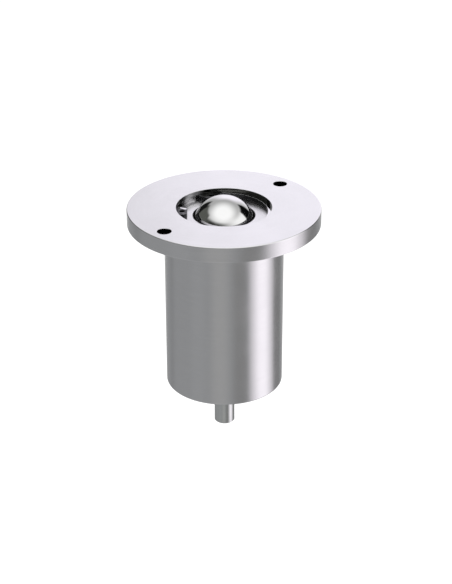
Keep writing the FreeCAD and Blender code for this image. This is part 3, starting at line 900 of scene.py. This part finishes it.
def spring_steel_painted_light(name, painted_shade, bright, low, high, sector, highlight_strip):
    """Spring steel, bright on top, with painted shade on its sides and in a sector, and a strip of
    painted highlight in that sector."""
    material, tree, shader, place = new_material(name)
    handling = group(tree, HANDLING, Coordinates=place, Low=low, High=high, Scale=CLIP_PATCH_SCALE)
    shaded_sector = group(tree, PAINTED_LIGHT_SECTOR, Coordinates=place, **sector)["Mask"]
    painted_highlight = group(tree, PAINTED_HIGHLIGHT_STRIP, Coordinates=place, **highlight_strip)["Mask"]
    # Painted shade on the circlip's sides and in the sector round its lugs, with a strip of painted
    # highlight in that sector
    shaded_sides = group(tree, INSIDE, Coordinates=place, Radius=CLIP_OUTER + GUARD,
                  Bottom=CLIP_BOTTOM - GUARD, Top=CLIP_TOP - GUARD)["Mask"]
    mask = maths(tree, "MULTIPLY", shaded_sector, maths(tree, "SUBTRACT", 1.0, painted_highlight))
    mask = maths(tree, "MAXIMUM", mask, shaded_sides)
    tree.links.new(blend_colour(tree, mask, bright, painted_shade), shader["Base Color"])
    rough = maths(tree, "MULTIPLY_ADD", mask, SHADED_ROUGHNESS, handling["Roughness"])
    tree.links.new(rough, shader["Roughness"])
    return material


def coated(name, dark, bright, low, high, metallic, scale, height, **fixed):
    """Coated or pressed surface with an even fine grain."""
    material, tree, shader, place = new_material(name, metallic, **fixed)
    grain = group(tree, GRAIN, Coordinates=place, Scale=scale)
    handling = group(tree, HANDLING, Coordinates=place, Low=low, High=high, Scale=COATED_PATCH_SCALE)
    patch = maths(tree, "MULTIPLY", grain["Mask"], handling["Mask"])
    tree.links.new(blend_colour(tree, patch, dark, bright), shader["Base Color"])
    tree.links.new(handling["Roughness"], shader["Roughness"])
    tree.links.new(bump(tree, grain["Height"], height), shader["Normal"])
    return material


# Painted shade, painted highlights and burnished rims of this unit: sectors are a middle, from +Y towards
# +X, and half a width, in degrees

# Sector of painted shade on the circlip, round its lugs
CLIP_SHADE_SECTOR = (-CLIP_TURN, 52)
# Sectors of painted highlight on the bore's painted shade
BORE_HIGHLIGHT_SECTORS = [(0, 14), (-134.4, 75)]
# Painted shade in the bore
BORE_PAINTED_SHADE = (0.09, 0.09, 0.085)
BORE_SMOOTHNESS = 0.65
# Painted shade in the screw holes and on the edge of the cover's hole
HOLE_PAINTED_SHADE = (0.02, 0.02, 0.02)
# Width of the ring of painted shade on the cover round its hole
COVER_SHADE_WIDTH = 0.3 * MM
FLANGE_RIM = 0.8 * MM
BODY_RIM = 1.2 * MM
STEM_RIM = 1.0 * MM


def sector_about(middle, half_width):
    """Inputs of the painted light sector group for a sector."""
    middle, half_width = math.radians(middle), math.radians(half_width)
    return {"Direction": (math.sin(middle), math.cos(middle), 0), "Cosine": math.cos(half_width)}


def housing_finish():
    """Bright steel with burnished rims, painted shade in the bore with a painted highlight in two
    sectors, and painted shade in the screw holes.
    """
    rims = [
        (FLANGE_RADIUS, FLANGE_TOP, FLANGE_RIM),
        (FLANGE_RADIUS, 0.0, FLANGE_RIM),
        (BODY_RADIUS, BODY_BOTTOM, BODY_RIM),
    ]
    bore = {"Radius": GROOVE_RADIUS + GUARD, "Bottom": FLOOR_TOP - GUARD, "Top": FLANGE_TOP - MOUTH_EDGE}
    highlight_sectors = [sector_about(*sector) for sector in BORE_HIGHLIGHT_SECTORS]
    hollows = [(bore, BORE_PAINTED_SHADE, BORE_SMOOTHNESS, highlight_sectors)]
    # Painted shade in each screw hole
    for side in (1, -1):
        hole = {"Centre": (side * SCREW_CIRCLE, 0, 0), "Radius": SCREW_HOLE + GUARD, "Bottom": 0.0,
                "Top": FLANGE_TOP}
        hollows.append((hole, HOLE_PAINTED_SHADE, 0.0, []))
    return turned_steel(
        "fine_turned_steel", dark=(0.84, 0.84, 0.845), bright=(0.92, 0.92, 0.925), low=0.2, high=0.26,
        rings=5000.0, marks=0.004 * MM, rims=rims, hollows=hollows,
    )


def circlip_finish():
    """Spring steel with painted shade round its lugs, but for a strip of painted highlight."""
    onward = Vector(STRIP_END) - Vector(STRIP_START)
    highlight_strip = {
        "Start": STRIP_START, "Onward": onward.normalized(), "Length": onward.length,
        "Width": STRIP_WIDTH_START, "End_Width": STRIP_WIDTH_END,
    }
    return spring_steel_painted_light(
        "painted_light_spring_steel", painted_shade=(0.05, 0.05, 0.054), bright=(0.88, 0.88, 0.885), low=0.08,
        high=0.14, sector=sector_about(*CLIP_SHADE_SECTOR), highlight_strip=highlight_strip,
    )


def cover_finish():
    """Polished steel with a ring of painted shade on the edge of the hole."""
    ring_shade = {"Radius": COVER_HOLE + COVER_SHADE_WIDTH, "Bottom": COVER_BOTTOM, "Top": COVER_TOP + GUARD}
    return turned_steel(
        "polished_cover_steel", dark=(0.84, 0.84, 0.85), bright=(0.90, 0.90, 0.905), low=0.20,
        high=0.27, rings=4000.0, marks=0.0006 * MM, hollows=[(ring_shade, HOLE_PAINTED_SHADE, 0.0, [])],
    )


def dress_hidden(ball_steel):
    """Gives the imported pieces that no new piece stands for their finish."""
    hardened = turned_steel(
        "ground_hard_steel", dark=(0.45, 0.45, 0.46), bright=(0.58, 0.58, 0.58), low=0.22, high=0.32,
        rings=3500.0, marks=0.004 * MM,
    )
    turned_bright = turned_steel(
        "turned_carrier_steel", dark=(0.58, 0.58, 0.59), bright=(0.70, 0.70, 0.71), low=0.25,
        high=0.35, rings=2500.0, marks=0.008 * MM,
    )
    plated = coated(
        "zinc_plate", dark=(0.62, 0.64, 0.66), bright=(0.76, 0.77, 0.78), low=0.28, high=0.4,
        metallic=1.0, scale=1200.0, height=0.006 * MM,
    )
    rows = {
        node: (ball_steel, "ball_steel") for node in frame["nodes"] if node.startswith("support_row")
    }
    finishes = {
        "ball_keeper": (turned_bright, "bright_steel"),
        "ball_carrier": (turned_bright, "bright_steel"),
        "bearing_cup": (hardened, "hardened_steel"),
        "upper_spring_seat": (hardened, "hardened_steel"),
        "lower_spring_seat": (hardened, "hardened_steel"),
        "stem_nut": (plated, "zinc_plated"),
        "lock_washer": (plated, "zinc_plated"),
        **rows,
    }
    for node, (material, slot) in finishes.items():
        thing = frame["nodes"][node]
        thing.data.materials.clear()
        thing.data.materials.append(material)


def dress():
    """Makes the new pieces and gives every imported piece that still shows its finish."""
    make_housing(housing_finish())
    make_circlip(circlip_finish())
    make_cover_ring(cover_finish())
    make_wiper_ring(coated(
        "wiper_polymer", dark=(0.004, 0.004, 0.004), bright=(0.012, 0.012, 0.012), low=0.6, high=0.75,
        metallic=0.0, scale=2500.0, height=0.01 * MM, Specular_IOR_Level=0.1,
    ))
    ball_steel = polished_steel(
        "ball_bearing_steel", dark=(0.88, 0.88, 0.875), bright=(0.91, 0.91, 0.905), low=0.05,
        high=0.08, scale=90.0,
    )
    make_load_ball(ball_steel)
    make_guide_stem(turned_steel(
        "ground_pin_steel", dark=(0.80, 0.81, 0.80), bright=(0.88, 0.90, 0.88), low=0.16, high=0.24,
        rings=6000.0, marks=0.003 * MM, rims=[(STEM_RADIUS, STEM_BOTTOM, STEM_RIM)],
    ))
    make_guide_bush(coated(
        "sintered_bronze", dark=(0.50, 0.31, 0.14), bright=(0.70, 0.48, 0.25), low=0.35, high=0.5,
        metallic=1.0, scale=3500.0, height=0.02 * MM,
    ))
    make_spring(coated(
        "oil_hardened_wire", dark=(0.08, 0.08, 0.085), bright=(0.16, 0.16, 0.165), low=0.3, high=0.45,
        metallic=0.9, scale=1800.0, height=0.008 * MM,
    ))
    dress_hidden(ball_steel)


# Camera, as the photograph's: found from the ellipses of the flange, the body and the bore

IMAGE_HEIGHT = 584
FOCAL_PIXELS = 1621.09
CAMERA_DISTANCE = 784.75 * MM
CAMERA_ELEVATION = math.radians(26.594)
CAMERA_TURN = math.radians(-45.6)
CAMERA_ROLL = math.radians(-0.1147)
AIM = Vector((0.866, 0, -37.28)) * MM
SENSOR = 36.0
NEAREST = 0.01
FURTHEST = 50


def make_camera():
    """Camera on a line from the aim, at the photograph's elevation, turned round the part's axis."""
    lens = bpy.data.cameras.new("camera")
    lens.sensor_width = SENSOR
    lens.lens = SENSOR * FOCAL_PIXELS / IMAGE_HEIGHT
    lens.clip_start, lens.clip_end = NEAREST, FURTHEST
    camera = bpy.data.objects.new("camera", lens)
    bpy.context.scene.collection.objects.link(camera)
    turn = Matrix.Rotation(CAMERA_TURN, 3, "Z")
    back = Vector((0, -math.cos(CAMERA_ELEVATION), math.sin(CAMERA_ELEVATION)))
    right = Vector((1, 0, 0))
    up = back.cross(right)
    roll = Matrix.Rotation(CAMERA_ROLL, 3, back)
    axes = Matrix([turn @ roll @ right, turn @ roll @ up, turn @ back]).transposed()
    place = Matrix.Translation(turn @ (AIM + CAMERA_DISTANCE * back))
    camera.matrix_world = place @ axes.to_4x4()
    bpy.context.scene.camera = camera


# Studio: a pale floor under the part, soft lamps, and cards that only the metal sees

FLOOR_GAP = 60 * MM
FLOOR_SIZE = 40.0
FLOOR_LEVEL = STEM_BOTTOM - FLOOR_GAP
TENT_RADIUS = 0.8
TENT_GAP = 4 * MM
TENT_AROUND = 96
DOME_POINTS = 40
DISC_POINTS = 20
FLOOR_COLOUR = 0.8
FLOOR_GLOW = 0.42
AMBIENT = 0.55


def grey(value):
    """Linear brightness that shows as this grey, 0 to 255, on the screen, by the sRGB curve."""
    share = value / 255
    return share / 12.92 if share <= 0.04045 else ((share + 0.055) / 1.055) ** 2.4


def seen_directly(tree):
    """1 for the rays that see the background: the camera's, reflected and transmitted ones."""
    path = add(tree, "ShaderNodeLightPath").outputs
    direct = maths(tree, "MAXIMUM", path["Is Camera Ray"], path["Is Glossy Ray"])
    return maths(tree, "MAXIMUM", direct, path["Is Transmission Ray"])


def make_floor():
    """Pale floor: it takes the part's shadow, a glow of its own brings it to white, and it is clear
    from below, so that the part's underside can be seen."""
    half = FLOOR_SIZE / 2
    mesh = bpy.data.meshes.new("floor")
    corners = [(-half, -half), (half, -half), (half, half), (-half, half)]
    mesh.from_pydata([(x, y, FLOOR_LEVEL) for x, y in corners], [], [(0, 1, 2, 3)])
    floor = bpy.data.objects.new("floor", mesh)
    bpy.context.scene.collection.objects.link(floor)
    material, tree, shader, _ = new_material("floor_white", 0.0, Roughness=1.0, Specular_IOR_Level=0.0)
    shader["Base Color"].default_value = (FLOOR_COLOUR,) * 3 + (1.0,)
    shader["Emission Color"].default_value = (1, 1, 1, 1)
    glow = maths(tree, "MULTIPLY", seen_directly(tree), FLOOR_GLOW)
    tree.links.new(glow, shader["Emission Strength"])
    below = add(tree, "ShaderNodeNewGeometry").outputs["Backfacing"]
    clear = add(tree, "ShaderNodeBsdfTransparent").outputs[0]
    painted = tree.nodes["Principled BSDF"].outputs[0]
    both = add(tree, "ShaderNodeMixShader", {0: below, 1: painted, 2: clear}).outputs[0]
    tree.links.new(both, tree.nodes["Material Output"].inputs["Surface"])
    mesh.materials.append(material)


def make_world():
    """White background for what is seen directly, and an even soft light for the rest."""
    world = bpy.data.worlds.new("studio")
    bpy.context.scene.world = world
    world.use_nodes = True
    tree = world.node_tree
    background = tree.nodes["Background"]
    background.inputs["Color"].default_value = (1, 1, 1, 1)
    strength = maths(tree, "MULTIPLY_ADD", seen_directly(tree), 1 - AMBIENT, AMBIENT)
    tree.links.new(strength, background.inputs["Strength"])


# Cards of the studio tent: the middle and half the width of each in azimuth, from the camera towards
# its right, and in elevation, each with the softness of its borders, in degrees, and the card's grey
# and tint. A card covers those above it in the list.

CARDS = [
    # name, azimuth, half width, softness, elevation, half height, softness, grey, tint
    ("left_wall", -108, 28, 8, 19, 22, 10, 88, "olive"),
    ("front_wall", -14, 70, 14, 14, 18, 14, 74, "olive"),
    ("left_shade", -52, 12, 12, 12, 16, 10, 50, "olive"),
    ("left_post", -141, 12, 6, 15, 19, 10, 24, "plain"),
    ("right_wall", 70, 51, 90, 18, 22, 20, 255, "plain"),
    ("right_post", 120.5, 19, 8, 18, 22, 10, 10, "plain"),
    ("back_wall", 171, 20, 26, 4, 35, 26, 256, "lilac"),
    ("low_surround", 0, 200, 8, -50, 46, 8, 145, "cool"),
    ("low_back", -163, 12, 12, -40, 36, 10, 205, "plain"),
    ("low_behind", 158, 10, 12, -40, 36, 10, 180, "plain"),
    ("low_side", -119, 8, 12, -40, 36, 10, 134, "cool"),
    ("low_left", -50, 13, 12, -40, 36, 10, 149, "cool"),
    ("low_front", -8, 14, 18, -40, 36, 10, 156, "plain"),
    ("low_shade", 31, 14, 16, -40, 36, 10, 128, "plain"),
    ("low_edge", 119, 15, 10, -32, 28, 8, 122, "plain"),
    ("low_box", 76.5, 28, 12, -32, 30, 10, 212, "rose"),
    ("low_core", 76, 15, 19, -32, 30, 10, 264, "rose"),
]

TINTS = {
    "plain": (1.0, 1.0, 1.0),
    "lilac": (1.0, 0.97, 1.05),
    "rose": (1.0, 0.957, 1.012),
    "cool": (0.985, 1.0, 1.02),
    "olive": (0.98, 1.02, 0.93),
}

# The lamp overhead: its direction, and the angles from it between which it fades into the ceiling

OVERHEAD_AZIMUTH = -10
OVERHEAD_ELEVATION = 72
OVERHEAD_FADE = (18, 60)
OVERHEAD_GREY = 262
CEILING_GREY = 176


def tent_mesh():
    """Profile carried round the axis: a disc above the floor that rises into a dome."""
    base = FLOOR_LEVEL + TENT_GAP
    arc = np.linspace(np.arcsin(base / TENT_RADIUS), np.pi / 2, DOME_POINTS)
    dome = TENT_RADIUS * np.stack([np.cos(arc), np.sin(arc)], axis=-1)
    disc = np.stack([np.linspace(0, dome[0, 0], DISC_POINTS), np.full(DISC_POINTS, base)], axis=-1)
    profile = np.concatenate([disc, dome[1:]])
    return solid_mesh("cards", [(turned(profile, TENT_AROUND), True)], flat_ends=False)


def fade(tree, distance, start, end):
    """1 up to a distance, and falling smoothly to 0 from there to another."""
    return add(tree, "ShaderNodeMapRange", {
        "Value": distance, "From Min": float(start), "From Max": float(end), "To Min": 1.0,
        "To Max": 0.0,
    }, interpolation_type="SMOOTHSTEP").outputs["Result"]


def card_colour(value, tint="plain"):
    """Linear colour of a card that shows as a grey with a faint tint."""
    return [grey(value) * part for part in TINTS[tint]]


def direction(azimuth, elevation):
    """Direction at an azimuth, from the camera towards its right, and an elevation, in degrees."""
    turn, lift = math.radians(azimuth) + CAMERA_TURN, math.radians(elevation)
    return Vector((math.sin(turn) * math.cos(lift), -math.cos(turn) * math.cos(lift), math.sin(lift)))


def card_light(tree, place):
    """Colour seen in each direction: the ceiling, the lamp overhead, and each card in turn."""
    toward = direction(OVERHEAD_AZIMUTH, OVERHEAD_ELEVATION)
    along = add(tree, "ShaderNodeVectorMath", {0: place}, operation="NORMALIZE").outputs[0]
    dot = add(tree, "ShaderNodeVectorMath", {0: along, 1: toward}, operation="DOT_PRODUCT")
    apart = maths(tree, "DEGREES", maths(tree, "ARCCOSINE", dot.outputs["Value"]))
    mask = fade(tree, apart, *OVERHEAD_FADE)
    light = blend_colour(tree, mask, card_colour(CEILING_GREY), card_colour(OVERHEAD_GREY))
    _, level, cosine, sine = polar(tree, along)
    elevation = maths(tree, "DEGREES", maths(tree, "ARCSINE", level))
    angle = maths(tree, "DEGREES", maths(tree, "ARCTAN2", sine, cosine))
    azimuth = maths(tree, "ADD", angle, 90 - math.degrees(CAMERA_TURN))
    for _, middle, half_width, side_soft, height, half_height, top_soft, value, tint in CARDS:
        across = maths(tree, "SUBTRACT", azimuth, float(middle))
        across = maths(tree, "ABSOLUTE", maths(tree, "WRAP", across, 180.0, -180.0))
        up = maths(tree, "ABSOLUTE", maths(tree, "SUBTRACT", elevation, float(height)))
        mask = maths(
            tree, "MULTIPLY",
            fade(tree, across, half_width - side_soft / 2, half_width + side_soft / 2),
            fade(tree, up, half_height - top_soft / 2, half_height + top_soft / 2),
        )
        light = blend_colour(tree, mask, light, card_colour(value, tint))
    return light


def make_tent():
    """Cards round the part, drawn on one surface that only reflections see."""
    mesh = tent_mesh()
    tent = bpy.data.objects.new("cards", mesh)
    bpy.context.scene.collection.objects.link(tent)
    tent.visible_camera = False
    tent.visible_diffuse = False
    tent.visible_shadow = False
    tent.visible_transmission = False
    material = bpy.data.materials.new("card_light")
    material.use_nodes = True
    material.cycles.emission_sampling = "NONE"
    tree = material.node_tree
    tree.nodes.clear()
    place = add(tree, "ShaderNodeTexCoord").outputs["Object"]
    glow = add(tree, "ShaderNodeEmission", {"Color": card_light(tree, place), "Strength": 1.0})
    add(tree, "ShaderNodeOutputMaterial", {"Surface": glow.outputs[0]})
    mesh.materials.append(material)


# Lamps, placed round the part as the cards are

LAMPS = [
    # name, azimuth, elevation, distance, size, power
    ("overhead_lamp", 20, 78, 1.2, 1.0, 9.0),
    ("left_lamp", -70, 40, 1.2, 0.9, 3.5),
]


def make_lamps():
    """Square lamps that shine on the part and can't be seen in it."""
    for name, azimuth, elevation, distance, size, power in LAMPS:
        light = bpy.data.lights.new(name, "AREA")
        light.shape = "SQUARE"
        light.size = size
        light.energy = power
        lamp = bpy.data.objects.new(name, light)
        bpy.context.scene.collection.objects.link(lamp)
        toward = direction(azimuth, elevation)
        lamp.location = toward * distance
        lamp.rotation_mode = "QUATERNION"
        lamp.rotation_quaternion = toward.to_track_quat("Z", "Y")
        lamp.visible_glossy = False


bpy.context.scene.view_settings.view_transform = "Standard"
dress()
make_camera()
make_floor()
make_world()
make_tent()
make_lamps()
